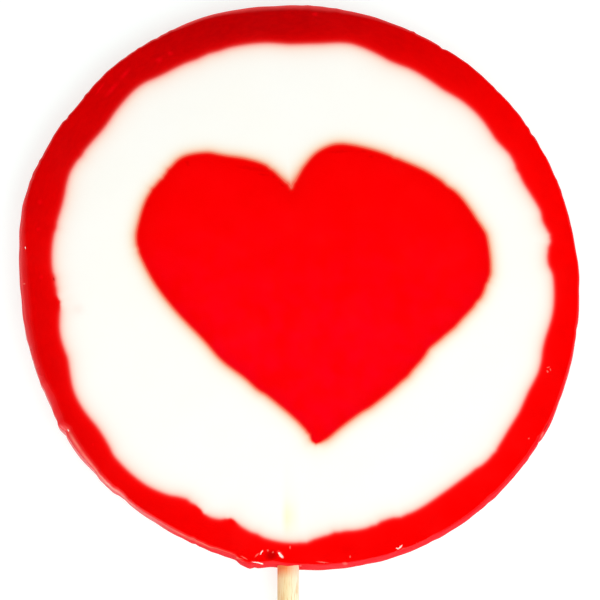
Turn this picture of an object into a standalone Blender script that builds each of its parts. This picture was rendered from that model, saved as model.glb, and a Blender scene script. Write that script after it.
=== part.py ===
"""Heart lollipop lying flat: a slice of layered sugar candy on a round wooden stick.

A red rind, a white body and a red heart run right through the disc, and the stick is pushed
into its rim. Lengths are in millimetres until they go into a mesh. The underside lies on z = 0
with the disc's middle over the origin, the heart points to -Y, and the stick leaves along -Y.
"""

import math

import bmesh
import bpy

MM = 0.001
THICKNESS = 7.0
GAP = 0.3  # between two neighbouring pieces
STATIONS = 144  # directions in which each outline is drawn

# Outer edge: a mean radius, its waves as (crests round, height, degrees of one crest), and the
# dents and swellings that a hand left, as (degrees, half width in degrees, height).
EDGE_RADIUS = 46.07
EDGE_WAVES = ((1, 0.35, 277), (2, 1.12, 300), (3, 0.20, 42), (4, 0.07, 45))
EDGE_BUMPS = (
    (1.5, 4, 0.20),
    (62.5, 8, -0.15),
    (108, 6.5, 0.20),
    (140.5, 6.5, -0.40),
    (162.5, 13, 0.55),
    (183.5, 10, -0.25),
    (211.5, 3, 0.30),
    (218.5, 13, 0.50),
    (227.5, 4, 0.30),
    (236, 3, 0.20),
    (260.5, 4, 0.90),
    (329.5, 8, 0.20),
)

# Section of the rim: its top edge is only broken, but rounder far from the stick and on the left.
TOP_ROUND = 0.4
TOP_ROUND_SWELLS = ((88, 38, 0.5), (192, 50, 1.2))  # (degrees, half width in degrees, more width)
ROUND_HEIGHT_SHARE = 0.75  # height of the rounding over its width
BOTTOM_ROUND = 0.8
SIDE_BULGE = 0.15
TOP_ROUND_STEPS = 6
BOTTOM_ROUND_STEPS = 3

# Inner edge of the rind, as (degrees, radius) at each turn of its wavy line.
RIND_INNER = (
    (0, 41.0), (3, 40.3), (6, 40.6), (8, 41.2), (13, 40.5), (15.5, 40.6), (18, 40.2), (23, 39.6),
    (31, 39.8), (34, 39.3), (42, 39.7), (48.5, 39.5), (52, 39.1), (61.5, 39.2), (67, 39.0),
    (72, 39.5), (78, 39.9), (85, 39.2), (92, 39.0), (98, 39.6), (105, 40.0), (123, 40.5),
    (129, 41.2), (136, 40.8), (142, 40.3), (149, 40.7), (155, 41.0), (162, 40.2), (171.5, 40.2),
    (177, 39.9), (182, 39.2), (187, 38.7), (192, 39.3), (196, 39.5), (200, 39.4), (208, 40.6),
    (213.5, 40.7), (217, 40.5), (221.5, 40.8), (225, 41.5), (234, 41.8), (240, 41.2), (244, 40.4),
    (247, 40.8), (249, 41.5), (252, 41.6), (255, 40.9), (258, 41.9), (264, 43.1), (270, 43.4),
    (275, 42.6), (280, 42.2), (284, 42.5), (289, 42.1), (295, 42.6), (303, 42.3), (309, 42.3),
    (315, 42.7), (323, 42.0), (328, 41.8), (332, 41.5), (338, 41.6), (344, 41.0), (352, 41.4),
)

# Heart: a sharp tip and a sharp notch, joined by one smooth curve on each side.
HEART_TIP = (2.8, -27.6)
HEART_NOTCH = (-1.1, 15.1)
HEART_RIGHT = (
    (4.4, -27.0), (7.2, -24.7), (9.9, -22.7), (12.0, -21.4), (16.1, -18.0), (19.9, -14.0),
    (21.1, -12.2), (23.3, -10.3), (27.2, -6.5), (29.6, -3.6), (30.3, -1.6), (31.0, -0.3),
    (31.1, 2.6), (30.5, 6.7), (29.3, 8.7), (28.3, 10.4), (25.8, 13.7), (21.5, 17.0), (16.9, 19.2),
    (12.6, 20.9), (7.8, 22.0), (5.0, 21.7), (2.3, 20.0), (0.1, 16.9),
)
HEART_LEFT = (
    (-2.2, 15.8), (-3.1, 16.7), (-5.2, 18.5), (-8.4, 19.6), (-12.1, 20.2), (-15.1, 20.7),
    (-19.0, 19.9), (-21.6, 17.2), (-24.6, 13.2), (-26.1, 8.4), (-26.3, 5.8), (-25.6, 3.3),
    (-23.2, -1.3), (-19.8, -5.8), (-15.4, -10.5), (-12.3, -14.0), (-8.7, -16.8), (-6.5, -18.8),
    (-4.8, -19.9), (-0.9, -23.2), (1.4, -25.6),
)
CURVE_STEPS = 12  # points on the heart's curve between two of those above

# Stick, at the middle of the disc's thickness.
STICK_RADIUS = 1.75
STICK_LENGTH = 140.0
STICK_X = -1.65
STICK_TOP_Y = -26.4
STICK_SIDES = 28
STICK_END_ROUND = 0.25
BORE_OVERSHOOT = 15.0  # the bore's cutter passes the rim by this much

CANDY_RED = (0.80, 0.0, 0.004)
CANDY_WHITE = (0.95, 0.91, 0.84)
BIRCH = (0.87, 0.66, 0.38)


def swell(angle, centre, half_width, height):
    """A smooth swelling at one angle, nothing beyond its half width."""
    away = abs((angle - centre + 180) % 360 - 180)
    if away >= half_width:
        return 0.0
    return height * (1 + math.cos(math.pi * away / half_width)) / 2


def edge_radius(angle):
    """Radius of the disc's outer edge at an angle in degrees."""
    waves = sum(
        height * math.cos(crests * math.radians(angle - crest))
        for crests, height, crest in EDGE_WAVES
    )
    return EDGE_RADIUS + waves + sum(swell(angle, *bump) for bump in EDGE_BUMPS)


def rind_inner_radius(angle):
    """Radius of the rind's inner edge: a smooth closed curve through RIND_INNER."""
    angle %= 360
    count = len(RIND_INNER)
    after = next((i for i, (turn, _) in enumerate(RIND_INNER) if turn > angle), count)
    turns = []
    for step in (-2, -1, 0, 1):
        round_trips, index = divmod(after + step, count)
        turn, radius = RIND_INNER[index]
        turns.append((turn + 360 * round_trips, radius))
    (a0, r0), (a1, r1), (a2, r2), (a3, r3) = turns
    width = a2 - a1
    part = (angle - a1) / width
    slope_1 = (r2 - r0) / (a2 - a0) * width
    slope_2 = (r3 - r1) / (a3 - a1) * width
    return (
        (1 + 2 * part) * (1 - part) ** 2 * r1
        + part * (1 - part) ** 2 * slope_1
        + part**2 * (3 - 2 * part) * r2
        + part**2 * (part - 1) * slope_2
    )


def smooth_line(points):
    """Points along a Catmull-Rom curve through the given ones, ends included."""
    padded = [points[0], *points, points[-1]]
    line = []
    for p0, p1, p2, p3 in zip(padded, padded[1:], padded[2:], padded[3:]):
        for step in range(CURVE_STEPS):
            t = step / CURVE_STEPS
            line.append(tuple(
                0.5 * (2 * b + (c - a) * t + (2 * a - 5 * b + 4 * c - d) * t**2
                       + (3 * b - a - 3 * c + d) * t**3)
                for a, b, c, d in zip(p0, p1, p2, p3)
            ))
    return [*line, points[-1]]


def angle_of(point):
    return math.degrees(math.atan2(point[1], point[0])) % 360


def heart_line():
    """The heart's outline as (degrees, radius), in order of angle and once round."""
    right = smooth_line([HEART_TIP, *HEART_RIGHT, HEART_NOTCH])
    left = smooth_line([HEART_NOTCH, *HEART_LEFT, HEART_TIP])
    polar = sorted((angle_of(point), math.hypot(*point)) for point in right[:-1] + left[:-1])
    first, last = polar[0], polar[-1]
    return [(last[0] - 360, last[1]), *polar, (first[0] + 360, first[1])]


HEART_LINE = heart_line()


def heart_radius(angle):
    """Radius of the heart's outline at an angle in degrees."""
    angle %= 360
    after = next(i for i, (turn, _) in enumerate(HEART_LINE) if turn > angle)
    (a0, r0), (a1, r1) = HEART_LINE[after - 1 : after + 1]
    return r0 + (r1 - r0) * (angle - a0) / (a1 - a0)


def station_angles():
    """Evenly spread directions, the two nearest to the heart's corners moved on to them."""
    angles = [360 * i / STATIONS for i in range(STATIONS)]
    for corner in map(angle_of, (HEART_TIP, HEART_NOTCH)):
        nearest = min(range(STATIONS), key=lambda i: abs(angles[i] - corner))
        angles[nearest] = corner
    return angles


def beside(radius_at, angle, distance):
    """Radius of the line that runs outside an outline at a distance (inside if negative)."""
    step = 0.5
    here = radius_at(angle)
    rises = [abs(radius_at(angle + turn) - here) for turn in (-step, step)]
    slope = max(rises) / (here * math.radians(step))
    return here + distance * math.hypot(1, slope)


def rim_section(angle):
    """(radius, height) round the rind's section, from its inner bottom corner."""
    inner = beside(rind_inner_radius, angle, GAP / 2)
    wall = edge_radius(angle) - SIDE_BULGE
    width = TOP_ROUND + sum(swell(angle, *rounder) for rounder in TOP_ROUND_SWELLS)
    height = ROUND_HEIGHT_SHARE * width
    section = [(inner, 0.0), (inner, THICKNESS)]
    for step in range(TOP_ROUND_STEPS + 1):
        turn = math.pi / 2 * step / TOP_ROUND_STEPS
        section.append((
            wall - width * (1 - math.sin(turn)),
            THICKNESS - height * (1 - math.cos(turn)),
        ))
    section.append((wall + SIDE_BULGE, THICKNESS / 2))
    for step in range(BOTTOM_ROUND_STEPS + 1):
        turn = math.pi / 2 * step / BOTTOM_ROUND_STEPS
        section.append((
            wall - BOTTOM_ROUND * (1 - math.cos(turn)),
            BOTTOM_ROUND * (1 - math.sin(turn)),
        ))
    return section


def body_section(angle):
    """(radius, height) round the body's section, from its bottom corner at the heart."""
    inner = beside(heart_radius, angle, GAP / 2)
    outer = beside(rind_inner_radius, angle, -GAP / 2)
    return [(inner, 0.0), (inner, THICKNESS), (outer, THICKNESS), (outer, 0.0)]


def heart_section(angle):
    """(radius, height) at the heart's side, bottom and top."""
    side = beside(heart_radius, angle, -GAP / 2)
    return [(side, 0.0), (side, THICKNESS)]


def rings_of(section_at):
    """One closed ring of points round the disc for each point of the section."""
    rings = []
    for angle in station_angles():
        turn = math.radians(angle)
        rings.append([
            (radius * math.cos(turn), radius * math.sin(turn), height)
            for radius, height in section_at(angle)
        ])
    return list(zip(*rings))


def stick_rings():
    """Rings from the stick's buried end to its free end, both slightly rounded."""
    radii = (STICK_RADIUS - STICK_END_ROUND, STICK_RADIUS)
    steps = (0.0, STICK_END_ROUND, STICK_LENGTH - STICK_END_ROUND, STICK_LENGTH)
    rings = []
    for radius, along in zip((*radii, *radii[::-1]), steps):
        ring = []
        for side in range(STICK_SIDES):
            turn = 2 * math.pi * side / STICK_SIDES
            ring.append((
                STICK_X + radius * math.cos(turn),
                STICK_TOP_Y - along,
                THICKNESS / 2 + radius * math.sin(turn),
            ))
        rings.append(ring)
    return rings


def candy(name, colour, roughness):
    """A Principled material of one colour."""
    material = bpy.data.materials.new(name)
    material.use_nodes = True
    shader = material.node_tree.nodes["Principled BSDF"]
    shader.inputs["Base Color"].default_value = (*colour, 1)
    shader.inputs["Roughness"].default_value = roughness
    shader.inputs["Metallic"].default_value = 0.0
    return material


def solid(name, rings, material, hollow):
    """A closed object from rings of points, each joined to the next.

    A hollow one joins its last ring to its first, and any other is capped at both ends.
    """
    mesh = bpy.data.meshes.new(name)
    shape = bmesh.new()
    loops = [[shape.verts.new([MM * value for value in point]) for point in ring] for ring in rings]
    followers = [*loops[1:], loops[0]] if hollow else loops[1:]
    for ring, following in zip(loops, followers):
        for i in range(len(ring)):
            shape.faces.new((ring[i - 1], ring[i], following[i], following[i - 1]))
    if not hollow:
        shape.faces.new(loops[0])
        shape.faces.new(loops[-1])
    bmesh.ops.recalc_face_normals(shape, faces=shape.faces)
    shape.to_mesh(mesh)
    shape.free()
    mesh.shade_smooth()
    mesh.set_sharp_from_angle(angle=math.radians(35))
    mesh.materials.append(material)
    piece = bpy.data.objects.new(name, mesh)
    bpy.context.collection.objects.link(piece)
    return piece


def bore_cutter():
    """The hole for the stick, a gap wider than it all round and past its buried end."""
    top = STICK_TOP_Y + GAP
    bottom = -EDGE_RADIUS - BORE_OVERSHOOT
    bpy.ops.mesh.primitive_cylinder_add(
        vertices=STICK_SIDES,
        radius=MM * (STICK_RADIUS + GAP),
        depth=MM * (top - bottom),
        location=(MM * STICK_X, MM * (top + bottom) / 2, MM * THICKNESS / 2),
        rotation=(math.pi / 2, 0, 0),
    )
    cutter = bpy.context.object
    cutter.name = "stick_bore"
    cutter.hide_render = True
    cutter.display_type = "WIRE"
    return cutter


def cut(piece, cutter):
    bore = piece.modifiers.new("stick bore", "BOOLEAN")
    bore.operation = "DIFFERENCE"
    bore.object = cutter


def build():
    for old in list(bpy.data.objects):
        bpy.data.objects.remove(old)
    rind = solid("rind", rings_of(rim_section), candy("red_rind", CANDY_RED, 0.3), hollow=True)
    body = solid("body", rings_of(body_section), candy("white_candy", CANDY_WHITE, 0.35), hollow=True)
    solid("heart", rings_of(heart_section), candy("red_heart", CANDY_RED, 0.3), hollow=False)
    solid("stick", stick_rings(), candy("birch", BIRCH, 0.6), hollow=False)
    cutter = bore_cutter()
    cut(rind, cutter)
    cut(body, cutter)


build()
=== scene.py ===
"""Looks of the heart lollipop: flush layers of sugar candy on a birch stick, seen from above.

Lengths are in millimetres until they go into a mesh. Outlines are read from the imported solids,
so the fine surfaces made here stay where the solids are.
"""

import math

import bmesh
import bpy
import numpy as np
from mathutils import Matrix, Vector, kdtree


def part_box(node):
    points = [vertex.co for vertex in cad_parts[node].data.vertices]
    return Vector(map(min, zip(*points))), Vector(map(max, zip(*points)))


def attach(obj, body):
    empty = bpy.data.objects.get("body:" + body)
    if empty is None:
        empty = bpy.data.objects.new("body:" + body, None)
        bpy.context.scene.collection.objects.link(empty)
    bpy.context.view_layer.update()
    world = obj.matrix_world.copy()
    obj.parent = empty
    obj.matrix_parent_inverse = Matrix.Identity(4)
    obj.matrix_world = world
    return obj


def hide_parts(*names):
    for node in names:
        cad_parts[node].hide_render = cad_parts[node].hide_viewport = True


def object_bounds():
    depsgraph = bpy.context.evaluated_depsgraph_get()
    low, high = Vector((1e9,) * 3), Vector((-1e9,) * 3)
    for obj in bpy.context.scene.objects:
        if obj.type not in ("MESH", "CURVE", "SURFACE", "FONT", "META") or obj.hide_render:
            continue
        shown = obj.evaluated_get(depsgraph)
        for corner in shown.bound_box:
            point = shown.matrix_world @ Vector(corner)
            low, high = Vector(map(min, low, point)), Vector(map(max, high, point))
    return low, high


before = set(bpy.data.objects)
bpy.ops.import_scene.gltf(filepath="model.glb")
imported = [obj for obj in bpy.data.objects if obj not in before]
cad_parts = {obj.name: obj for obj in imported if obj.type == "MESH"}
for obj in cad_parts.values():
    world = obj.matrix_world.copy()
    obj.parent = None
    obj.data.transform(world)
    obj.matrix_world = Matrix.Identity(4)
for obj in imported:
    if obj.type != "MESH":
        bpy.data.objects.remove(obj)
cad_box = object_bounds()

MM = 0.001

# Camera: it looks down on the disc, tilted towards the stick.
CAMERA_TILT = math.radians(12.5)
CAMERA_TURN = math.radians(5)
CAMERA_DISTANCE = 483.4
CAMERA_TARGET = Vector((0.3, -4.05, 7.0))
CAMERA_BACK = Vector((
    math.sin(CAMERA_TILT) * math.sin(CAMERA_TURN),
    -math.sin(CAMERA_TILT) * math.cos(CAMERA_TURN),
    math.cos(CAMERA_TILT),
))
CAMERA_LENS = 180
CAMERA_SENSOR = 36

# Directions in which the outlines are drawn, closer together beside the stick.
COARSE_STEP = 0.4
FINE_STEP = 0.25
FINE_FROM, FINE_TO = 246, 296
# Degrees from the heart's notch or tip in which its outline is straight, then grows smooth.
STRAIGHT_WITHIN, GROWS_SMOOTH_OVER = 2.5, 4
# Shares of the disc's outer radius: the one that parts the white's inner corners from its outer
# ones, the one below which the rind's seam lies, and the one above which its rounding starts.
WHITE_SPLIT, SEAM_BELOW, ROUNDING_ABOVE = 0.76, 0.96, 0.94
# How far corners of one outline may be off in height, and off the outer radius as a share.
HEIGHT_TOLERANCE, SHARE_TOLERANCE = 0.01, 0.001

# Upper face: it waves about a plane this far below the top of the solids.
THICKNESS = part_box("rind")[1].z / MM
SKIN = 0.07
WAVE_COUNT = 14
WAVE_HEIGHT = 0.01
WAVE_LENGTHS = (9, 34)

# Rim: where its rounding starts earlier than in the solids, as (degrees, half width in degrees,
# more width), the height of the rounding over its width, the bulge of the wall at mid height, and
# the radius of its lower edge.
SOFTER_SWELLS = ((95, 40, 0.6), (180, 20, 0.6), (216, 20, 0.7), (286, 40, -0.3))
ROUND_HEIGHT_SHARE = 0.75
SIDE_BULGE = 0.17
BOTTOM_ROUND = 0.8
# Lumps of the wall: their number, height, crests round the disc and lean in radians.
LUMP_COUNT = 16
LUMP_HEIGHT = 0.012
FEWEST_CRESTS, CRESTS_BELOW = 9, 60
LUMP_LEAN = 0.25
# How far the wall draws in around the stick: degrees from the stick's middle, and depths. It
# grows in this many times faster than the wall goes down, and fades towards the bottom.
TUCK = ((-4.5, -2.6, 0, 1, 2.2, 2.7, 3.2), (0, 0.2, 0, 0.4, 1, 0.5, 0))
TUCK_GROWTH = 3

# Rows of the meshes: distances from a seam, how many of them a piece has, and how many even rows
# follow; then the rows round the rim, and where those of the rind's underside lie.
SEAM_OFFSETS = (0.08, 0.16, 0.26, 0.38, 0.52, 0.7, 0.95, 1.3, 1.8, 2.5)
BODY_TOP_ROWS, BODY_LOW_ROWS = 18, 2
HEART_NEAR_ROWS, HEART_ROWS, HEART_CORE_SHARE = 9, 23, 0.03
RIND_NEAR_ROWS, RIND_ROWS = 8, 14
ROLL_ROWS, WALL_ROWS, FOOT_ROWS = 14, 12, 5
RIND_LOW_SHARES = (0.8, 0.6, 0.35, 0.12)

# The red's creep into the white moves what the eye takes for a seam, so both seams are shifted a
# little along the radius.
HEART_SHIFT = -0.055
RIND_SHIFT = -0.03

# Sharp little kinks that hands and tools left, as (degrees, half width in degrees, height).
EDGE_KINKS = (
    (11, 2.5, -0.12), (17, 1.2, -0.1), (20.5, 1.5, 0.1), (26, 2.5, 0.12), (31.8, 0.8, -0.16),
    (33.2, 0.8, 0.1), (40, 2, 0.12), (43.5, 1.2, -0.1), (52, 2.5, 0.15), (58.2, 0.8, -0.22),
    (65.2, 0.8, 0.14), (82, 1.5, 0.12), (88, 1.2, 0.1), (117, 0.8, 0.12), (120, 1, -0.14),
    (124.3, 0.8, 0.12), (127.5, 1.2, -0.1), (134.3, 2, -0.18), (138.8, 0.8, 0.12), (145, 0.8, -0.24),
    (149.3, 2, 0.13), (155.2, 0.8, 0.12), (159, 0.8, -0.1), (170, 3, 0.1), (194.5, 2, -0.12),
    (202.8, 1.2, 0.12), (209.5, 1.5, 0.1), (212.3, 1, 0.2), (214.2, 0.8, -0.24), (225.5, 1.2, 0.12),
    (229.4, 1.2, 0.17), (233.3, 1.5, 0.12), (248.8, 0.8, -0.14), (252.3, 1.5, 0.12),
    (258.5, 1, 0.2), (261.3, 0.8, -0.22), (297, 1.5, -0.1), (310, 1.5, -0.12), (321, 1.2, 0.1),
    (325.2, 0.8, -0.14), (349, 1.5, -0.12),
)
RIND_KINKS = (
    (6.5, 1.2, -0.2), (9.3, 0.8, 0.14), (26.3, 1.2, -0.14), (109, 2.5, -0.1), (114.5, 3, -0.16),
    (150.3, 1.5, -0.13), (168.3, 1.5, -0.13), (180.3, 1.5, -0.16), (184.5, 1.6, 0.2),
    (186.15, 0.5, -0.14), (245.3, 1.3, 0.22), (248.8, 0.8, 0.16), (254.2, 0.6, 0.1),
    (261.3, 1.5, -0.16), (271.8, 1.5, 0.2), (277.8, 1.3, -0.16), (287, 1.2, 0.16),
    (292.5, 1.5, 0.16), (311.7, 1.5, -0.13), (317.5, 1, 0.12),
)
HEART_KINKS = (
    (31.5, 2.5, -0.18), (51.5, 1.5, -0.12), (87.5, 2, 0.15), (91.8, 1.8, -0.18), (94.4, 1.6, -0.45),
    (104.3, 1.2, -0.16), (140, 1.5, 0.16), (143.5, 1, -0.14), (148.5, 1, 0.13), (170, 1.2, -0.13),
    (273.7, 0.4, -0.16), (274, 0.25, -0.25), (274.4, 0.3, 0.26), (274.8, 0.9, 0.4),
    (316.5, 3.5, 0.15), (341, 4, 0.16), (351, 1.5, -0.16), (358, 1, 0.12),
)

# How the red and the white run into each other: (reach in mm, strength) of the near red and of
# its pale tail in the white, which is partly red under the white's surface and partly painted light
# scattered from the red, and (reach, strength) of the pale line in the red.
HEART_BLEED = ((0.53, 0.91), (0.79, 0.53), (0.103, 0.84))
RIND_BLEED = ((0.31, 0.98), (1.17, 0.53), (0.141, 0.89))
# The run is shorter at the heart's tip and at these crisp spots.
CRISP_SPOTS = ((-10.45, -39.55), (-15.6, -38.2), (-38.5, -4.2))
CRISP_REACH = 1.1
# At the rind's seam, from this radius on and fully after a width, it is shorter by a share that
# swings round the disc and is greatest in one direction.
RIND_ZONE, RIND_ZONE_WIDTH = 33, 4
RIND_CRISPER, RIND_CRISPER_SWING, RIND_CRISPEST_AT = 0.04, 0.11, 290
# At the heart's notch it is longer: how far around, how much narrower across, and by what share
# in the white and in the red.
NOTCH_REACH, NOTCH_NARROWING = 2.5, 1.8
BODY_RUNNING, HEART_RUNNING = 0.65, 0.3

# Oval marks on the rind seen from above: (x, y, half length, half width, degrees round). The
# chips' white is partly a painted glint, and the pink marks are pink specks and painted glints.
CHIPS_AND_GLINTS = (
    (-2.72, -45.42, 0.5, 0.2, 131), (-2.98, -45.10, 0.22, 0.17, 100), (-6.22, -46.58, 1.03, 0.06, 171),
    (-5.78, -44.92, 0.38, 0.08, 60), (15.66, -44.33, 0.24, 0.07, 165), (16.18, -44.12, 0.42, 0.10, 45),
    (15.81, -39.07, 0.16, 0.16, 0), (-44.24, 4.84, 0.20, 0.05, 91), (-36.75, -25.19, 0.2, 0.1, 104),
)
PINK_SPECKS_AND_GLINTS = (
    (-6.48, -45.31, 0.37, 0.08, 45), (-4.80, -44.62, 0.14, 0.12, 0), (-3.97, -44.86, 0.14, 0.10, 60),
    (-1.28, -44.12, 0.20, 0.07, 90), (-9.53, -45.80, 0.64, 0.08, 162), (-8.53, -45.77, 0.46, 0.08, 150),
    (8.21, -45.64, 0.16, 0.10, 90), (7.55, -46.80, 0.42, 0.20, 168), (7.20, -46.95, 0.2, 0.16, 0),
    (3.90, -46.51, 0.76, 0.07, 173), (-44.32, -1.11, 0.17, 0.10, 168), (38.88, -26.24, 0.50, 0.16, 66),
    (40.03, -15.25, 0.22, 0.07, 8), (40.38, -15.60, 0.16, 0.07, 100), (39.93, -15.94, 0.16, 0.12, 139),
    (36.75, -26.76, 0.10, 0.08, 0),
)
BRIGHT_MARKS = (
    (-30.5, 31.5, 1.2, 0.28, 51), (-21.06, 37.55, 0.34, 0.30, 152), (-22.85, 36.40, 0.42, 0.38, 19),
    (2.77, 44.14, 0.36, 0.28, 165), (-41.98, 12.45, 0.30, 0.30, 0), (-42.18, 7.93, 0.27, 0.27, 0),
    (-41.58, -0.06, 0.27, 0.27, 0), (-28.4, 34.1, 0.95, 0.28, 52), (-32.5, 31.6, 0.9, 0.14, 56),
    (36.99, -23.76, 0.14, 0.12, 0), (43.55, -9.90, 0.12, 0.12, 0), (-32.75, -27.52, 0.16, 0.12, 91),
)
DIMPLE = (-4.25, -45.35, 0.86, 0.66, 9)
DARK_MARKS = (DIMPLE, (-39.49, -0.40, 0.25, 0.13, 102), (39.50, -24.95, 0.72, 0.13, 64))
# The same on the heart, most of them along its upper edge.
HEART_MARKS = (
    (6.90, 20.69, 1.71, 0.23, 3), (10.68, 20.75, 0.38, 0.18, 167), (11.86, 19.82, 0.34, 0.16, 165),
    (-18.03, 18.88, 0.42, 0.26, 126), (-7.35, 17.90, 2.15, 0.29, 171), (-5.64, 16.88, 0.66, 0.16, 172),
    (-4.01, 16.54, 0.35, 0.21, 134), (-2.63, 15.10, 0.41, 0.16, 142), (-24.48, 11.86, 0.41, 0.23, 54),
    (2.29, -26.28, 0.49, 0.13, 90),
)
# How the marks' outlines are ragged: size of the noise and how far it moves them, and how far
# the marks reach up and down.
RAGGED_SIZE, RAGGED_BY = 0.35, 0.25
MARK_DEPTH = 1.4
# Dents under the dimple and under chips wider than this, which are deeper the wider they are.
DIMPLE_DEPTH = 0.06
CHIP_DEPTH = 0.25
NARROWEST_DENT = 0.1
DENT_MARGIN = 0.1

# Swells round the disc, as (degrees, half width in degrees, height): how much painted shade darkens the
# rind.
PAINTED_SHADE_SWELLS = ((100, 78, 0.8), (190, 80, 0.36), (156, 28, 0.11))
# Painted glow of light from the white in the rind's red beside it: all round, and how much more or
# less in places.
SEAM_GLOW = 0.75
SEAM_GLOW_SWELLS = ((142, 42, -0.5),)
# How much duller its side is: all round, in places, at the stick, and at the most.
DULL = 0.2
DULL_SWELLS = ((300, 75, 0.7), (256, 18, 0.7), (194, 22, -0.08))
DULL_AT_STICK = (5, 0.4)
DULLEST = 0.95

# A painted highlight along the shoulder at the lower left, as (degrees, share of the way from the flat
# face to the wall, strength), its half width as such a share, and the height from which it shows,
# growing over the next bit.
SHOULDER_HIGHLIGHT = (
    (213, 0.66, 0), (218, 0.67, 0.5), (223, 0.74, 0.35), (229, 0.94, 0.6), (236, 0.97, 0.15),
    (241, 0.95, 0.1), (246, 0.91, 0.5), (254, 0.82, 0.5), (260, 0.78, 0.1), (262, 0.78, 0),
)
HIGHLIGHT_WIDTH = 0.12
HIGHLIGHT_LOW, HIGHLIGHT_GROWS_OVER = 5.2, 0.5

# Glow of the buried stick: left end, peak and right end from the stick's middle, and its places
# along the stick as (y, reach, strength).
GLOW_ACROSS = (-1.05, -0.2, 2.1)
GLOW_ALONG = ((-39.3, 2.3, 0.8), (-36, 5, 0.1))
# Pink stains in the white, as (x, y, reach, strength).
PINK_STAINS = ((-35.5, -5.4, 0.9, 0.2), (-20.0, -3.8, 0.35, 0.3), (-39.3, -1.2, 0.5, 0.15))
# A painted sheen, a touch of blue in the heart's red, grows in downwards between these places.
SHEEN_FROM, SHEEN_TO = 12, -10

# Stick: its radius as a share of the solid's, which leaves room for its waves, the same at its
# buried end and its free end, and the rounding of both.
STICK_SIDES, STICK_ROWS = 72, 90
STICK_SHARE, BURIED_END_SHARE, FREE_END_SHARE = 0.985, 0.85, 0.86
STICK_END_ROUND = 0.25
STICK_WAVE = 0.0022
# The candy's red tints the stick, growing in between these places towards the disc.
TINT_FROM, TINT_TO = -48.8, -47.2
GRAIN_LEAN = math.radians(2)
GRAIN_STRETCH = 0.08

# Gloss of the candy: roughness of the white and the red, how much smoother and rougher it gets in
# places, and how deep its waves and its fine pits are.
WHITE_ROUGHNESS, RED_ROUGHNESS = 0.2, 0.16
SMOOTHER, ROUGHER = 0.05, 0.07
CLOUD_DEPTH, PIT_DEPTH = 0.03, 0.008
# Colours of the white, the buried stick's glow and the stains in it.
WHITE, WARM_WHITE = (0.98, 0.977, 0.922), (0.978, 0.970, 0.905)
GLOW_YELLOW, STAIN_PINK = (0.96, 0.90, 0.60), (0.95, 0.62, 0.52)
# Of the red that runs into the white, its pale tail, partly painted light scattered from the red,
# and near red, and of the pale line in the red.
RIND_SCATTER_TAIL, RIND_NEAR, RIND_LINE_PINK = (0.969, 0.34, 0.111), (0.97, 0.176, 0.175), (0.933, 0.296, 0.25)
HEART_SCATTER_TAIL, HEART_NEAR = (0.877, 0.754, 0.029), (0.902, 0.013, 0.023)
HEART_LINE_PINK = (0.965, 0.285, 0.177)
# Of the rind: flat face plain and under painted shade, its side as painted shade and as painted light
# with a pink painted sheen, tints of its blotches and streaks, and the reds beside the seam from wide
# to narrow: two of painted glow and the red at the seam.
FACE_RED, FACE_SHADED = (0.93, 0.0, 0.0), (0.42, 0.0, 0.001)
SIDE_SHADE_RED, SIDE_SHEEN_RED = (0.70, 0.0, 0.01), (0.98, 0.05, 0.045)
BLOTCH_TINT, STREAK_TINT = (0.92, 1, 1), (0.86, 1, 1)
WIDE_GLOW_RED, NEAR_GLOW_RED, SEAM_RED = (0.95, 0.001, 0.001), (0.94, 0.002, 0.002), (0.72, 0.0, 0.01)
# Pink of the painted highlight along the shoulder.
HIGHLIGHT_PINK = (1.0, 0.40, 0.28)
BRIGHT_MARK, DARK_MARK = (0.95, 0.0, 0.005), (0.38, 0.0, 0.0)
# Pink of the specks and painted glints, and white of the chips with painted glints on them.
SPECK_AND_GLINT_PINK, CHIP_GLINT_WHITE = (0.95, 0.26, 0.2), (0.95, 0.82, 0.74)
# Of the heart, its blotches, its red beside the seam, its marks and the blue of its painted sheen.
HEART_RED, HEART_BLOTCH = (0.93, 0.0, 0.0), (0.97, 0.0, 0.001)
HEART_EDGE_RED, HEART_MARK = (0.83, 0.0, 0.0), (0.76, 0.0, 0.0)
NO_SHEEN, SHEEN_BLUE = (0, 0, 0), (0, 0, 0.0055)
# Of the birch from its painted shade on the left to its painted light on the right, its grain and
# fibres, and where the candy tints it.
BIRCH_SHADED_LEFT, BIRCH_MIDDLE, BIRCH_LIT_RIGHT = (0.86, 0.62, 0.29), (0.90, 0.76, 0.40), (0.94, 0.89, 0.69)
BIRCH_GRAIN, BIRCH_STREAK, BIRCH_TINTED = (0.91, 0.80, 0.50), (0.80, 0.50, 0.20), (0.80, 0.22, 0.03)

# Floor and its own faint light.
FLOOR_SIZE = 6000
FLOOR_COLOURS = ((0.34, 0.40, 0.39), (0.38, 0.44, 0.43))
FLOOR_LIGHT, FLOOR_LIGHT_STRENGTH = (0.97, 1, 0.98, 1), 0.69

# Dome: its strength overhead, the horizon's as a share of that, and the sine of the height from
# which it is as strong as overhead.
SKY, HORIZON, SKY_FULL_FROM = 1.29, 0.75, 0.6
# Dark cards, as (degrees round, degrees up, half angle of the dark, half angle of the soft edge,
# brightness): the first is what the upper face mirrors, the second what the left shoulder does.
CARDS = ((69, 72, 22, 44, 0.01), (187, 44, 16, 34, 0.05))
# Windows that only the gloss mirrors: (degrees round, degrees up, half angle, brightness).
WINDOWS = ((218, 12, 13, 12.5), (218, 42, 15, 3.3), (163, 5, 17, 3.8), (110, 12, 18, 2.0))
KEY_PLACE, KEY_SIZE, KEY_POWER = (150, -250, 400), 340, 1.3


# ---------------------------------------------------------------- outlines


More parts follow.
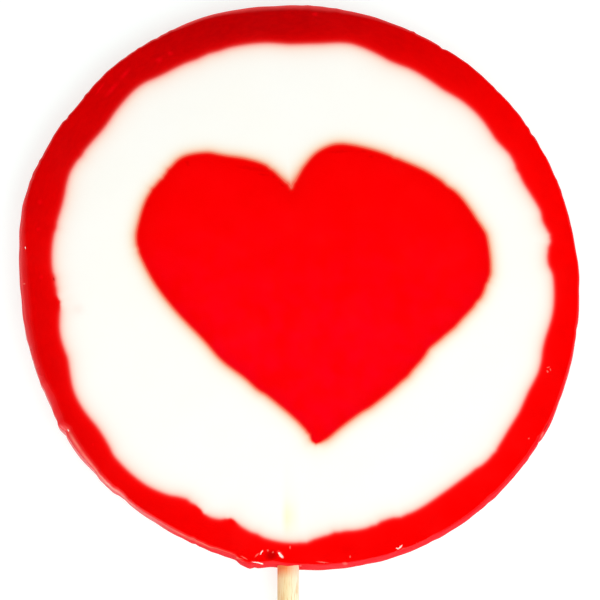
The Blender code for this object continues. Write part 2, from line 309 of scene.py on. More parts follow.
def corners_at(node, height):
    """Degrees round and radii of a solid's corners at one height."""
    points = np.array([corner.co[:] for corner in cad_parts[node].data.vertices]) / MM
    points = points[np.abs(points[:, 2] - height) < HEIGHT_TOLERANCE]
    degrees = np.round(np.degrees(np.arctan2(points[:, 1], points[:, 0])) % 360, 2) % 360
    return degrees, np.hypot(points[:, 0], points[:, 1])


def in_order(degrees, radii):
    """(degrees, radius) with one corner in each direction."""
    stations, first = np.unique(degrees, return_index=True)
    return stations, radii[first]


EDGE = in_order(*corners_at("rind", BOTTOM_ROUND))


def cad_ring(node, height, low=0.0, high=1.0):
    """(degrees, radius) of a solid's corners at one height, between two shares of EDGE."""
    degrees, radii = corners_at(node, height)
    share = radii / np.interp(degrees, *EDGE, period=360)
    chosen = (share >= low) & (share <= high + SHARE_TOLERANCE)
    return in_order(degrees[chosen], radii[chosen])


def round_curve(ring, at):
    """The smooth closed curve through a ring, read in other directions."""
    stations, radii = ring
    degrees = np.concatenate((stations[-2:] - 360, stations, stations[:2] + 360))
    radius = np.concatenate((radii[-2:], radii, radii[:2]))
    slope = np.gradient(radius, degrees)
    i = np.clip(np.searchsorted(degrees, at, side="right") - 1, 0, len(degrees) - 2)
    width = degrees[i + 1] - degrees[i]
    part = (at - degrees[i]) / width
    return (
        (1 + 2 * part) * (1 - part) ** 2 * radius[i]
        + part * (1 - part) ** 2 * slope[i] * width
        + part**2 * (3 - 2 * part) * radius[i + 1]
        + part**2 * (part - 1) * slope[i + 1] * width
    )


def heart_corners(ring):
    """Degrees of the heart's notch and of its tip."""
    stations, radii = ring
    return stations[np.argmin(radii)], stations[np.argmin(radii * np.sin(np.radians(stations)))]


def sharp_curve(ring, at):
    """The smooth curve through a ring, but straight beside the heart's notch and tip."""
    away = np.min([np.abs((at - corner + 180) % 360 - 180) for corner in heart_corners(ring)], axis=0)
    smooth = np.clip((away - STRAIGHT_WITHIN) / GROWS_SMOOTH_OVER, 0, 1)
    straight = np.interp(at, *ring, period=360)
    return straight + smooth * (round_curve(ring, at) - straight)


def swell(at, centre, half_width, height):
    """Height of one soft swell round the disc, at some degrees."""
    away = np.abs((at - centre + 180) % 360 - 180)
    return np.where(away < half_width, height * (1 + np.cos(np.pi * away / half_width)) / 2, 0)


def swells(at, table):
    return sum(swell(at, *one) for one in table)


def between(ring_a, ring_b):
    """The ring halfway across the gap between two pieces."""
    stations = np.union1d(ring_a[0], ring_b[0])
    radii = [np.interp(stations, *ring, period=360) for ring in (ring_a, ring_b)]
    return stations, (radii[0] + radii[1]) / 2


HEART_RING = between(cad_ring("heart", THICKNESS), cad_ring("body", THICKNESS, 0, WHITE_SPLIT))
RIND_RING = between(cad_ring("body", THICKNESS, WHITE_SPLIT), cad_ring("rind", 0, 0, SEAM_BELOW))
COARSE = np.arange(0, 360, COARSE_STEP)
ANGLES = np.sort(np.concatenate((
    COARSE[(COARSE < FINE_FROM) | (COARSE >= FINE_TO)],
    np.arange(FINE_FROM, FINE_TO, FINE_STEP),
)))
CORNERS = heart_corners(HEART_RING)
for corner in CORNERS:
    ANGLES[np.argmin(np.abs(ANGLES - corner))] = corner
COS, SIN = np.cos(np.radians(ANGLES)), np.sin(np.radians(ANGLES))


def kinks(table):
    """Height of sharp little kinks in every direction."""
    change = np.zeros_like(ANGLES)
    for centre, half_width, height in table:
        away = np.abs((ANGLES - centre + 180) % 360 - 180)
        change += height * np.clip(1 - away / half_width, 0, 1)
    return change


HEART_LINE = sharp_curve(HEART_RING, ANGLES) + kinks(HEART_KINKS) + HEART_SHIFT
RIND_LINE = round_curve(RIND_RING, ANGLES) + kinks(RIND_KINKS) + RIND_SHIFT
WALL = round_curve(EDGE, ANGLES) + kinks(EDGE_KINKS)
FLAT_RING = cad_ring("rind", THICKNESS, ROUNDING_ABOVE)
ROUND_WIDTH = round_curve(EDGE, ANGLES) - round_curve(FLAT_RING, ANGLES)
FLAT_END = WALL - ROUND_WIDTH - swells(ANGLES, SOFTER_SWELLS)


def heart_point(degrees):
    """The point of the heart's outline in one direction."""
    turn = math.radians(degrees)
    return float(np.interp(degrees, ANGLES, HEART_LINE)) * Vector((math.cos(turn), math.sin(turn)))


NOTCH, TIP = (heart_point(degrees) for degrees in CORNERS)

STICK_LOW, STICK_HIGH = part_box("stick")
STICK_X = (STICK_LOW.x + STICK_HIGH.x) / 2 / MM
STICK_Z = (STICK_LOW.z + STICK_HIGH.z) / 2 / MM
STICK_RADIUS = (STICK_HIGH.x - STICK_LOW.x) / 2 / MM
STICK_ANGLE = 270 + math.degrees(math.atan(STICK_X / np.mean(WALL)))


# ---------------------------------------------------------------- surfaces


def upper_face(radius):
    """Height of the gently uneven upper face at a radius in every direction."""
    random = np.random.default_rng(7)
    x, y = radius * COS, radius * SIN
    height = np.zeros_like(x)
    for _ in range(WAVE_COUNT):
        way = random.uniform(0, 2 * math.pi)
        length = random.uniform(*WAVE_LENGTHS)
        phase = random.uniform(0, 2 * math.pi)
        height += np.sin((x * math.cos(way) + y * math.sin(way)) * 2 * math.pi / length + phase)
    return THICKNESS - SKIN + WAVE_HEIGHT * height


def ring(radius, height):
    """One ring of points in millimetres."""
    return np.stack((radius * COS, radius * SIN, height + 0 * radius), axis=1)


def top_radii(inner, outer, middle_rows):
    """Radii from one seam to the other, close together beside both."""
    near = [inner + offset for offset in (0, *SEAM_OFFSETS)]
    far = [outer - offset for offset in (*SEAM_OFFSETS[::-1], 0)]
    shares = np.linspace(0, 1, middle_rows + 2)[1:-1]
    return near + [near[-1] + (far[0] - near[-1]) * share for share in shares] + far


def body_rings():
    rings = [ring(HEART_LINE, 0.0), ring(HEART_LINE, THICKNESS / 2)]
    top = top_radii(HEART_LINE, RIND_LINE, BODY_TOP_ROWS)
    rings += [ring(radius, upper_face(radius)) for radius in top]
    rings += [ring(RIND_LINE, THICKNESS / 2)]
    rings += [ring(radius, 0.0) for radius in top_radii(HEART_LINE, RIND_LINE, BODY_LOW_ROWS)[:0:-1]]
    return rings


def heart_rings():
    """From near the middle of the underside, round the side, to near the middle on top."""
    inward = [HEART_LINE - offset for offset in (0, *SEAM_OFFSETS[:HEART_NEAR_ROWS])]
    shares = np.linspace(1, HEART_CORE_SHARE, HEART_ROWS + 1)[1:]
    inward += [inward[-1] * share for share in shares]
    rings = [ring(radius, 0.0) for radius in inward[::-1]]
    rings += [ring(HEART_LINE, THICKNESS / 2)]
    rings += [ring(radius, upper_face(radius)) for radius in inward]
    return rings


def rim_relief(height):
    """Uneven side of the rim: soft lumps that lean a little from face to face."""
    random = np.random.default_rng(11)
    relief = np.zeros_like(ANGLES)
    for _ in range(LUMP_COUNT):
        crests = random.integers(FEWEST_CRESTS, CRESTS_BELOW)
        lean = random.uniform(-LUMP_LEAN, LUMP_LEAN)
        phase = random.uniform(0, 2 * math.pi)
        relief += np.sin(crests * (np.radians(ANGLES) + lean * height / THICKNESS) + phase)
    return LUMP_HEIGHT * relief


def shares_up_to_one(count):
    """This many even steps up to 1, without the 0."""
    return np.linspace(0, 1, count + 1)[1:]


def quarter_turn(count):
    """This many even steps up to a right angle, without the 0, in radians."""
    return np.radians(np.linspace(0, 90, count + 1)[1:])


def rind_rings():
    """Up the seam, out over the upper face, round the rim, and back along the underside."""
    seam_rows = [RIND_LINE + offset for offset in (0, *SEAM_OFFSETS[:RIND_NEAR_ROWS])]
    last = seam_rows[-1]
    seam_rows += [last + (FLAT_END - last) * share for share in shares_up_to_one(RIND_ROWS)]
    rings = [ring(RIND_LINE, 0.0), ring(RIND_LINE, THICKNESS / 2)]
    rings += [ring(radius, upper_face(radius)) for radius in seam_rows]
    for turn in quarter_turn(ROLL_ROWS):
        radius = FLAT_END + (WALL - FLAT_END) * np.sin(turn)
        z = upper_face(radius) - ROUND_HEIGHT_SHARE * ROUND_WIDTH * (1 - np.cos(turn))
        rings.append(ring(radius + rim_relief(z) * math.sin(turn), z))
    top_of_wall = rings[-1][:, 2]
    for share in shares_up_to_one(WALL_ROWS):
        z = top_of_wall + (BOTTOM_ROUND - top_of_wall) * share
        tuck = np.interp(ANGLES - STICK_ANGLE, *TUCK) * min(1, TUCK_GROWTH * share) * (1 - share)
        bulge = SIDE_BULGE * math.sin(math.pi * share)
        rings.append(ring(WALL - tuck + bulge + rim_relief(z), z))
    for turn in quarter_turn(FOOT_ROWS):
        radius = WALL - BOTTOM_ROUND * (1 - math.cos(turn)) + rim_relief(0) * math.cos(turn)
        rings.append(ring(radius, BOTTOM_ROUND * (1 - math.sin(turn))))
    flat = WALL - BOTTOM_ROUND
    rings += [ring(RIND_LINE + (flat - RIND_LINE) * share, 0.0) for share in RIND_LOW_SHARES]
    return [dented(row) for row in rings]


def dented(row):
    """A ring of points sunk a little where the upper face has lost chips, and in the dimple."""
    x, y, z = row.T
    dents = [(chip, CHIP_DEPTH * chip[3] ** 0.5) for chip in CHIPS_AND_GLINTS if chip[3] > NARROWEST_DENT]
    dents.append((DIMPLE, DIMPLE_DEPTH))
    for (centre_x, centre_y, half_length, half_width, turn), depth in dents:
        turn = math.radians(turn)
        along = (x - centre_x) * math.cos(turn) + (y - centre_y) * math.sin(turn)
        across = (y - centre_y) * math.cos(turn) - (x - centre_x) * math.sin(turn)
        away = (along / (half_length + DENT_MARGIN)) ** 2 + (across / (half_width + DENT_MARGIN)) ** 2
        z = z - np.where(z > THICKNESS / 2, depth * np.exp(-away), 0)
    return np.stack((x, y, z), axis=1)


def sealed(points, faces):
    """The same faces, all facing out."""
    shape = bmesh.new()
    inside = np.clip(MM * np.array(points), cad_box[0], cad_box[1])
    corners = [shape.verts.new(point) for point in inside.tolist()]
    for face in faces:
        shape.faces.new([corners[i] for i in face])
    bmesh.ops.recalc_face_normals(shape, faces=shape.faces)
    return shape


def piece_from(name, points, faces, smooth_angle=40):
    """A mesh object of the part, smooth but for its sharp edges."""
    shape = sealed(points, faces)
    mesh = bpy.data.meshes.new(name)
    shape.to_mesh(mesh)
    shape.free()
    mesh.shade_smooth()
    mesh.set_sharp_from_angle(angle=math.radians(smooth_angle))
    piece = bpy.data.objects.new(name, mesh)
    bpy.context.scene.collection.objects.link(piece)
    return piece


def candy_piece(name, rings, hollow):
    """A closed piece through the rings: a hoop, or a block with a middle point on both faces."""
    count = len(ANGLES)
    rows = np.array(rings)
    points = rows.reshape(-1, 3)
    faces = []
    bands = len(rings) if hollow else len(rings) - 1
    for row in range(bands):
        a = row * count
        b = (row + 1) % len(rings) * count
        faces += [(a + (i - 1) % count, a + i, b + i, b + (i - 1) % count) for i in range(count)]
    if not hollow:
        low, high = len(points), len(points) + 1
        points = np.concatenate((points, [rows[0].mean(0)], [rows[-1].mean(0)]))
        start = (len(rings) - 1) * count
        faces += [(low, (i + 1) % count, i) for i in range(count)]
        faces += [(high, start + i, start + (i + 1) % count) for i in range(count)]
    return piece_from(name, points.tolist(), faces)


def line_tree(line):
    """A search tree of points close together along an outline, in millimetres."""
    x, y = line * COS, line * SIN
    step_x, step_y = np.roll(x, -1) - x, np.roll(y, -1) - y
    shares = np.arange(0, 1, 0.2)
    along = [np.stack((x + step_x * share, y + step_y * share), axis=1) for share in shares]
    points = np.concatenate(along)
    tree = kdtree.KDTree(len(points))
    for i, (x, y) in enumerate(points):
        tree.insert((x, y, 0), i)
    tree.balance()
    return tree


def store(piece, name, value_at):
    """Keeps a number for each corner of a piece: value_at(x, y, z) in millimetres."""
    values = [value_at(*(corner.co / MM)) for corner in piece.data.vertices]
    attribute = piece.data.attributes.new(name, "FLOAT", "POINT")
    attribute.data.foreach_set("value", np.array(values, np.float32))


def closeness(x, y, running):
    """Factor on the distance from a seam: above 1 where the red runs less far, as at crisp spots
    and at the heart's tip, and below 1 where it runs further, as at the heart's notch."""
    near_rind = min(1, max(0, (math.hypot(x, y) - RIND_ZONE) / RIND_ZONE_WIDTH))
    near_notch = math.exp(-math.hypot(NOTCH_NARROWING * (x - NOTCH.x), y - NOTCH.y) / NOTCH_REACH)
    crisp = sum(
        math.exp(-((x - spot_x) ** 2 + (y - spot_y) ** 2) / CRISP_REACH**2)
        for spot_x, spot_y in (TIP, *CRISP_SPOTS)
    )
    turned = math.cos(math.atan2(y, x) - math.radians(RIND_CRISPEST_AT))
    crisper = near_rind * (RIND_CRISPER + RIND_CRISPER_SWING * turned)
    return 1 + crisper - running * near_notch + crisp


def store_seam(piece, name, line, running=0.0):
    """Distance of each corner from a seam between red and white."""
    tree = line_tree(line)
    store(piece, name, lambda x, y, z: tree.find((x, y, 0))[2] * closeness(x, y, running))


# ---------------------------------------------------------------- materials


class Finish:
    """A Principled material and short ways to add nodes to it."""

    def __init__(self, name, roughness, **plain):
        self.material = bpy.data.materials.new(name)
        self.material.use_nodes = True
        self.tree = self.material.node_tree
        self.shader = self.tree.nodes["Principled BSDF"]
        self.shader.inputs["Roughness"].default_value = roughness
        for socket, value in plain.items():
            self.shader.inputs[socket.replace("_", " ")].default_value = value
        self.place = self.add("ShaderNodeTexCoord").outputs["Object"]

    def add(self, kind, inputs=(), **settings):
        node = self.tree.nodes.new(kind)
        for setting, value in settings.items():
            setattr(node, setting, value)
        for socket, value in dict(inputs).items():
            if isinstance(value, bpy.types.NodeSocket):
                self.tree.links.new(value, node.inputs[socket])
            else:
                node.inputs[socket].default_value = value
        return node

    def number(self, name):
        return self.add("ShaderNodeAttribute", attribute_name=name).outputs["Fac"]

    def math(self, operation, a, b=0.0):
        return self.add("ShaderNodeMath", {0: a, 1: b}, operation=operation).outputs[0]

    def fade(self, distance, length, strength=1.0):
        """strength * exp(-distance / length)"""
        share = self.math("MULTIPLY", distance, -1 / length)
        return self.math("MULTIPLY", self.math("EXPONENT", share), strength)

    def ranged(self, value, low, high, to_low, to_high):
        inputs = {"Value": value, 1: low, 2: high, 3: to_low, 4: to_high}
        return self.add("ShaderNodeMapRange", inputs).outputs[0]

    def mix(self, factor, a, b, blend="MIX"):
        node = self.add("ShaderNodeMix", {0: factor}, data_type="RGBA", blend_type=blend)
        for socket, value in ((6, a), (7, b)):
            if isinstance(value, bpy.types.NodeSocket):
                self.tree.links.new(value, node.inputs[socket])
            else:
                node.inputs[socket].default_value = (*value, 1)
        return node.outputs[2]

    def noise(self, size, detail=3.0, place=None):
        """Noise from 0 to 1 with blotches about this many millimetres wide."""
        inputs = {"Vector": place or self.place, "Scale": 1 / (size * MM), "Detail": detail}
        return self.add("ShaderNodeTexNoise", inputs).outputs["Fac"]

    def length(self, vector):
        return self.add("ShaderNodeVectorMath", {0: vector}, operation="LENGTH").outputs["Value"]

    def round_place(self, stretch):
        """A place in which noise runs round the disc, stretched this many times."""
        flat = self.vector("MULTIPLY", self.place, (1, 1, 0))
        mean_radius = 45 * MM
        way = self.vector("MULTIPLY", self.vector("NORMALIZE", flat), (mean_radius / stretch,) * 3)
        out = self.add("ShaderNodeCombineXYZ", {"Z": self.length(flat)}).outputs[0]
        return self.vector("ADD", way, out)

    def vector(self, operation, a, b=(0, 0, 0)):
        return self.add("ShaderNodeVectorMath", {0: a, 1: b}, operation=operation).outputs[0]

    def marks(self, table, strength, softness=0.3):
        """This strength on the small oval marks of a table and 0 elsewhere, with ragged edges."""
        inputs = {"Vector": self.place, "Scale": 1 / (RAGGED_SIZE * MM), "Detail": 2.0}
        noise = self.add("ShaderNodeTexNoise", inputs).outputs["Color"]
        shaken = self.vector("ADD", self.place, self.vector("MULTIPLY", noise, (RAGGED_BY * MM,) * 3))
        place = self.vector("SUBTRACT", shaken, (RAGGED_BY / 2 * MM,) * 3)
        cover = 0.0
        for x, y, half_length, half_width, turn in table:
            near = self.add("ShaderNodeMapping", {
                "Vector": place,
                "Location": (x * MM, y * MM, THICKNESS * MM),
                "Rotation": (0, 0, math.radians(turn)),
                "Scale": (half_length * MM, half_width * MM, MARK_DEPTH * MM),
            }, vector_type="TEXTURE").outputs[0]
            here = self.ranged(self.length(near), 1 - softness, 1 + softness, strength, 0)
            cover = self.math("MAXIMUM", cover, here)
        return cover

    def colour(self, socket):
        self.tree.links.new(socket, self.shader.inputs["Base Color"])

    def roughness(self, socket):
        self.tree.links.new(socket, self.shader.inputs["Roughness"])

    def bump(self, height, depth, below=None):
        inputs = {"Height": height, "Distance": depth * MM, "Strength": 1.0}
        node = self.add("ShaderNodeBump", inputs)
        if below:
            self.tree.links.new(below, node.inputs["Normal"])
        return node.outputs[0]

    def normal(self, socket):
        self.tree.links.new(socket, self.shader.inputs["Normal"])


def white_candy():
    finish = Finish("white_candy", 0.22)
    blotches = finish.ranged(finish.noise(11), 0.35, 0.7, 0, 1)
    colour = finish.mix(blotches, WHITE, WARM_WHITE)
    colour = finish.mix(finish.number("stick_glow"), colour, GLOW_YELLOW)
    colour = finish.mix(finish.number("stain"), colour, STAIN_PINK)
    rind_seam, heart_seam = finish.number("rind_seam"), finish.number("heart_seam")
    # Pale tails of the red in the white, partly painted light scattered from the red.
    colour = finish.mix(finish.fade(rind_seam, *RIND_BLEED[1]), colour, RIND_SCATTER_TAIL)
    colour = finish.mix(finish.fade(heart_seam, *HEART_BLEED[1]), colour, HEART_SCATTER_TAIL)
    colour = finish.mix(finish.fade(rind_seam, *RIND_BLEED[0]), colour, RIND_NEAR)
    colour = finish.mix(finish.fade(heart_seam, *HEART_BLEED[0]), colour, HEART_NEAR)
    finish.colour(colour)
    candy_surface(finish, WHITE_ROUGHNESS)
    return finish.material


def candy_surface(finish, roughness, duller=0.0):
    """Slightly uneven gloss with fine pits, as sugar has that cooled on a slab."""
    cloud = finish.noise(5)
    gloss = finish.ranged(cloud, 0.3, 0.7, roughness - SMOOTHER, roughness + ROUGHER)
    finish.roughness(finish.math("ADD", gloss, duller))
    pits = finish.ranged(finish.noise(0.7, 2.0), 0.25, 0.4, 0, 1)
    finish.normal(finish.bump(pits, PIT_DEPTH, finish.bump(cloud, CLOUD_DEPTH)))


def red_rind():
    finish = Finish("red_rind", 0.2, Specular_IOR_Level=0.2)
    seam = finish.number("rind_seam")
    painted_shade = finish.number("painted_shade")
    # Painted shade darkens the face most at the top.
    colour = finish.mix(painted_shade, FACE_RED, FACE_SHADED)
    blotches = finish.ranged(finish.noise(3.5), 0.3, 0.7, 0, 1)
    colour = finish.mix(blotches, colour, finish.mix(1.0, colour, BLOTCH_TINT, "MULTIPLY"))
    streaks = finish.ranged(finish.noise(0.55, 2.0, finish.round_place(2.5)), 0.35, 0.65, 0, 1)
    streaks = finish.math("MULTIPLY", streaks, painted_shade)
    colour = finish.mix(streaks, colour, finish.mix(1.0, colour, STREAK_TINT, "MULTIPLY"))
    rounding = finish.number("rounding")
    # The side takes painted shade where the face is plain, and painted light with a pink painted sheen
    # where the face has painted shade.
    side_light_and_shade = finish.mix(painted_shade, SIDE_SHADE_RED, SIDE_SHEEN_RED)
    colour = finish.mix(finish.ranged(rounding, 0.3, 0.95, 0, 0.85), colour, side_light_and_shade)
    # A painted highlight along the shoulder at the lower left, in patches.
    patches = finish.ranged(finish.noise(1.6, 2.0, finish.round_place(2.5)), 0.3, 0.6, 0.4, 1)
    shoulder_highlight = finish.math("MULTIPLY", finish.number("shoulder_highlight"), patches)
    colour = finish.mix(shoulder_highlight, colour, HIGHLIGHT_PINK)
    # Painted glow of light from the white in the red beside the seam, less under the painted shade.
    seam_glow = finish.number("seam_glow")
    glow_off_shade = finish.math("MULTIPLY", seam_glow, finish.math("SUBTRACT", 1.0, painted_shade))
    wide_glow = finish.math("MULTIPLY", glow_off_shade, finish.fade(seam, 1.6))
    colour = finish.mix(wide_glow, colour, WIDE_GLOW_RED)
    near_glow = finish.math("MULTIPLY", seam_glow, finish.fade(seam, 0.9))
    colour = finish.mix(near_glow, colour, NEAR_GLOW_RED)
    colour = finish.mix(finish.fade(seam, 0.3, 0.4), colour, SEAM_RED)
    colour = finish.mix(finish.fade(seam, *RIND_BLEED[2]), colour, RIND_LINE_PINK)
    colour = finish.mix(finish.marks(BRIGHT_MARKS, 0.5, 0.8), colour, BRIGHT_MARK)
    colour = finish.mix(finish.marks(DARK_MARKS, 0.7, 0.5), colour, DARK_MARK)
    # Pink specks and painted glints, then the chips' white with painted glints.
    colour = finish.mix(finish.marks(PINK_SPECKS_AND_GLINTS, 0.5, 0.6), colour, SPECK_AND_GLINT_PINK)
    colour = finish.mix(finish.marks(CHIPS_AND_GLINTS, 1), colour, CHIP_GLINT_WHITE)
    finish.colour(colour)
    side = finish.ranged(rounding, 0.05, 0.5, 0, 1)
    candy_surface(finish, RED_ROUGHNESS, finish.math("MULTIPLY", finish.number("dullness"), side))
    return finish.material


def red_heart():
    finish = Finish("red_heart", 0.2, Specular_IOR_Level=0.2)
    seam = finish.number("heart_seam")
    blotches = finish.ranged(finish.noise(6), 0.3, 0.7, 0, 1)
    colour = finish.mix(blotches, HEART_RED, HEART_BLOTCH)
    colour = finish.mix(finish.fade(seam, 2.0), colour, HEART_EDGE_RED)
    colour = finish.mix(finish.marks(HEART_MARKS, 0.8, 0.6), colour, HEART_MARK)
    # Painted sheen: a touch of blue that grows in towards the bottom of the heart.
    up_the_heart = finish.add("ShaderNodeSeparateXYZ", {0: finish.place}).outputs["Y"]
    low = finish.ranged(up_the_heart, SHEEN_FROM * MM, SHEEN_TO * MM, 0, 1)
    clumps = finish.ranged(finish.noise(3.0), 0.35, 0.65, 0.3, 1)
    sheen_blue = finish.mix(finish.math("MULTIPLY", low, clumps), NO_SHEEN, SHEEN_BLUE)
    colour = finish.mix(1.0, colour, sheen_blue, "ADD")
    colour = finish.mix(finish.fade(seam, *HEART_BLEED[2]), colour, HEART_LINE_PINK)
    finish.colour(colour)
    candy_surface(finish, RED_ROUGHNESS)
    return finish.material


def birch():
    finish = Finish("birch_stick", 0.55)
    leaning = {"Vector": finish.place, "Rotation": (0, 0, GRAIN_LEAN), "Scale": (1, GRAIN_STRETCH, 1)}
    place = finish.add("ShaderNodeMapping", leaning).outputs[0]
    grain = finish.noise(0.26, 4.0, place)
    fibres = finish.noise(0.12, 2.0, place)
    split = finish.add("ShaderNodeSeparateXYZ", {0: finish.place}).outputs
    left, right = ((STICK_X + share * STICK_RADIUS) * MM for share in (-0.8, 0.9))
    across = finish.ranged(split["X"], left, right, 0, 1)
    near_candy = finish.ranged(split["Y"], TINT_FROM * MM, TINT_TO * MM, 0, 1)
    # Painted shade on the stick's left and painted light on its right.
    colour = finish.mix(finish.ranged(across, 0, 0.5, 0, 1), BIRCH_SHADED_LEFT, BIRCH_MIDDLE)
    colour = finish.mix(finish.ranged(across, 0.4, 1, 0, 1), colour, BIRCH_LIT_RIGHT)
    colour = finish.mix(finish.ranged(grain, 0.35, 0.6, 0.35, 0), colour, BIRCH_GRAIN)
    colour = finish.mix(finish.ranged(grain, 0.53, 0.62, 0, 0.8), colour, BIRCH_STREAK)
    stained = finish.math("MULTIPLY", near_candy, finish.ranged(across, 0.3, 1, 0.9, 0.1))
    colour = finish.mix(stained, colour, BIRCH_TINTED)
    finish.colour(colour)
    finish.normal(finish.bump(fibres, 0.03))
    return finish.material


def floor_material():
    finish = Finish("floor", 0.8)
    cloud = finish.noise(60)
    finish.colour(finish.mix(cloud, *FLOOR_COLOURS))
    finish.shader.inputs["Emission Color"].default_value = FLOOR_LIGHT
    finish.shader.inputs["Emission Strength"].default_value = FLOOR_LIGHT_STRENGTH
    return finish.material


# ---------------------------------------------------------------- pieces


def dress(piece, material, slot, *nodes):
    piece.data.materials.append(material)
    if nodes:
        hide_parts(*nodes)
    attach(piece, "root")


def degrees_round(x, y):
    return math.degrees(math.atan2(y, x)) % 360


def painted_shade_at(x, y, z):
    """How much painted shade darkens the rind: most at the top, a little down the left side."""
    return float(min(1, swells(degrees_round(x, y), PAINTED_SHADE_SWELLS)))


def seam_glow_at(x, y, z):
    """Painted glow of light from the white in the rind's red beside it: least at the upper left."""
    return float(SEAM_GLOW + swells(degrees_round(x, y), SEAM_GLOW_SWELLS))


def rounding_at(x, y, z):
    """0 on the flat face, rising to 1 where the rim has rolled over to the wall."""
    angle = degrees_round(x, y)
    start = np.interp(angle, ANGLES, FLAT_END, period=360)
    end = np.interp(angle, ANGLES, WALL, period=360)
    share = (math.hypot(x, y) - start) / (end - start)
    return 1.0 if z < THICKNESS / 2 else float(min(1, max(0, share)))


def shoulder_highlight_at(x, y, z):
    """A painted highlight along the shoulder at the lower left."""
    angle = degrees_round(x, y)
    degrees, places, strengths = zip(*SHOULDER_HIGHLIGHT)
    away = (rounding_at(x, y, z) - np.interp(angle, degrees, places)) / HIGHLIGHT_WIDTH
    above_wall = min(1, max(0, (z - HIGHLIGHT_LOW) / HIGHLIGHT_GROWS_OVER))
    return float(np.interp(angle, degrees, strengths) * math.exp(-(away**2)) * above_wall)


def dullness_at(x, y, z):
    """How much duller the side is: most on the lower right."""
    angle = degrees_round(x, y)
    more = swells(angle, DULL_SWELLS) + swell(angle, STICK_ANGLE, *DULL_AT_STICK)
    return float(min(DULLEST, DULL + more))


def stick_glow_at(x, y, z):
    """Faint yellow of the buried stick, strongest near the rind."""
    across = np.interp(x, [STICK_X + offset for offset in GLOW_ACROSS], (0, 1, 0))
    along = sum(
        strength * math.exp(-(((y - middle) / reach) ** 2)) for middle, reach, strength in GLOW_ALONG
    )
    return across * along


def stain_at(x, y, z):
    """Pink stains where a little red has got into the white."""
    return sum(
        strength * math.exp(-((x - stain_x) ** 2 + (y - stain_y) ** 2) / reach**2)
        for stain_x, stain_y, reach, strength in PINK_STAINS
    )


def add_candy():
    rind = candy_piece("rind_candy", rind_rings(), hollow=True)
    store_seam(rind, "rind_seam", RIND_LINE)
    store(rind, "painted_shade", painted_shade_at)
    store(rind, "seam_glow", seam_glow_at)
    store(rind, "rounding", rounding_at)
    store(rind, "shoulder_highlight", shoulder_highlight_at)
    store(rind, "dullness", dullness_at)
    dress(rind, red_rind(), "red_rind", "rind")
    body = candy_piece("body_candy", body_rings(), hollow=True)
    store_seam(body, "rind_seam", RIND_LINE)
    store_seam(body, "heart_seam", HEART_LINE, BODY_RUNNING)
    store(body, "stick_glow", stick_glow_at)
    store(body, "stain", stain_at)
    dress(body, white_candy(), "white_candy", "body")
    heart = candy_piece("heart_candy", heart_rings(), hollow=False)
    store_seam(heart, "heart_seam", HEART_LINE, HEART_RUNNING)
    dress(heart, red_heart(), "red_heart", "heart")


def add_stick():
    low, high = STICK_LOW.y / MM, STICK_HIGH.y / MM
    stations = [(high, BURIED_END_SHARE), (high - STICK_END_ROUND, STICK_SHARE)]
    stations += [(y, STICK_SHARE) for y in np.linspace(high - 1, low + 1, STICK_ROWS)]
    stations += [(low + STICK_END_ROUND, STICK_SHARE), (low, FREE_END_SHARE)]
    random = np.random.default_rng(3)
    phases = random.uniform(0, 2 * math.pi, 6)
    points = []
    for y, share in stations:
        for side in range(STICK_SIDES):
            turn = 2 * math.pi * side / STICK_SIDES
            wave = sum(
                math.sin((i + 2) * turn + phase + y / (7 + 3 * i)) for i, phase in enumerate(phases)
            )
            radius = STICK_RADIUS * share * (1 + STICK_WAVE * wave)
            points.append((STICK_X + radius * math.cos(turn), y, STICK_Z + radius * math.sin(turn)))
    faces = []
    for row in range(len(stations) - 1):
        for side in range(STICK_SIDES):
            following = (side + 1) % STICK_SIDES
            a, b = row * STICK_SIDES, (row + 1) * STICK_SIDES
            faces.append((a + side, a + following, b + following, b + side))
    faces.append(tuple(range(STICK_SIDES)))
    faces.append(tuple(range(len(points) - STICK_SIDES, len(points))))
    stick = piece_from("birch_stick", points, faces, 50)
    dress(stick, birch(), "birch_stick", "stick")


# ---------------------------------------------------------------- stage


def add_camera():
    right = Vector((0, 1, 0)).cross(CAMERA_BACK).normalized()
    up = CAMERA_BACK.cross(right)
    data = bpy.data.cameras.new("camera")
    data.lens = CAMERA_LENS
    data.sensor_width = CAMERA_SENSOR
    camera = bpy.data.objects.new("camera", data)
    bpy.context.scene.collection.objects.link(camera)
    turned = Matrix((right, up, CAMERA_BACK)).transposed().to_4x4()
    place = CAMERA_TARGET + CAMERA_DISTANCE * CAMERA_BACK
    camera.matrix_world = Matrix.Translation(MM * place) @ turned
    bpy.context.scene.camera = camera


def add_floor():
    bpy.ops.mesh.primitive_plane_add(size=MM * FLOOR_SIZE)
    floor = bpy.context.object
    floor.name = "floor"
    floor.data.materials.append(floor_material())


def add_light(name, place, size, power):
    """A soft square lamp that faces the disc, placed in millimetres."""
    data = bpy.data.lights.new(name, "AREA")
    data.energy = power
    data.size = MM * size
    lamp = bpy.data.objects.new(name, data)
    bpy.context.scene.collection.objects.link(lamp)
    lamp.location = MM * Vector(place)
    lamp.rotation_euler = (-Vector(place)).to_track_quat("-Z", "Y").to_euler()
    return lamp


def toward(turn, rise):
    """Unit vector at these degrees round and above the horizon."""
    turn, rise = math.radians(turn), math.radians(rise)
    return Vector((math.cos(rise) * math.cos(turn), math.cos(rise) * math.sin(turn), math.sin(rise)))


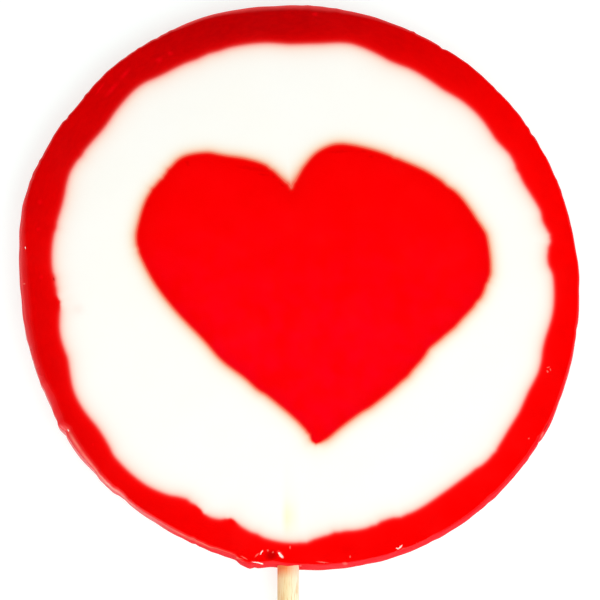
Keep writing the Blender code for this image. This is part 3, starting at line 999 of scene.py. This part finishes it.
def add_window(turn, rise, half_angle, brightness):
    """A round lamp a metre away."""
    radius = math.tan(math.radians(half_angle))
    power = brightness * (math.pi * radius) ** 2
    lamp = add_light("window", toward(turn, rise) / MM, 2 * radius / MM, power)
    lamp.data.shape = "DISK"
    lamp.visible_diffuse = False
    lamp.visible_camera = False


def add_world():
    """A soft white dome with dark cards where the candy would mirror it to the camera."""
    world = bpy.data.worlds.new("studio")
    bpy.context.scene.world = world
    world.use_nodes = True
    tree = world.node_tree
    direction = tree.nodes.new("ShaderNodeTexCoord").outputs["Generated"]
    height = aligned(tree, direction, (0, 0, 1))
    light = smooth_step(tree, height, 0, SKY_FULL_FROM, HORIZON * SKY, SKY)
    for turn, rise, inner, outer, brightness in CARDS:
        edge = math.cos(math.radians(outer)), math.cos(math.radians(inner))
        card = smooth_step(tree, aligned(tree, direction, toward(turn, rise)), *edge, 1, brightness)
        shaded = tree.nodes.new("ShaderNodeMath")
        shaded.operation = "MULTIPLY"
        tree.links.new(light, shaded.inputs[0])
        tree.links.new(card, shaded.inputs[1])
        light = shaded.outputs[0]
    background = tree.nodes["Background"]
    background.inputs["Color"].default_value = (1, 1, 1, 1)
    tree.links.new(light, background.inputs["Strength"])


def aligned(tree, direction, axis):
    """Cosine of the angle between a direction and an axis."""
    node = tree.nodes.new("ShaderNodeVectorMath")
    node.operation = "DOT_PRODUCT"
    tree.links.new(direction, node.inputs[0])
    node.inputs[1].default_value = axis
    return node.outputs["Value"]


def smooth_step(tree, value, low, high, to_low, to_high):
    """A soft step from one value to another while a third goes from low to high."""
    node = tree.nodes.new("ShaderNodeMapRange")
    node.interpolation_type = "SMOOTHSTEP"
    limits = {"From Min": low, "From Max": high, "To Min": to_low, "To Max": to_high}
    for socket, limit in limits.items():
        node.inputs[socket].default_value = limit
    tree.links.new(value, node.inputs["Value"])
    return node.outputs[0]


def add_stage():
    add_camera()
    add_floor()
    add_world()
    add_light("key", KEY_PLACE, KEY_SIZE, KEY_POWER)
    for window in WINDOWS:
        add_window(*window)
    bpy.context.scene.view_settings.view_transform = "Standard"


add_stage()
add_candy()
add_stick()
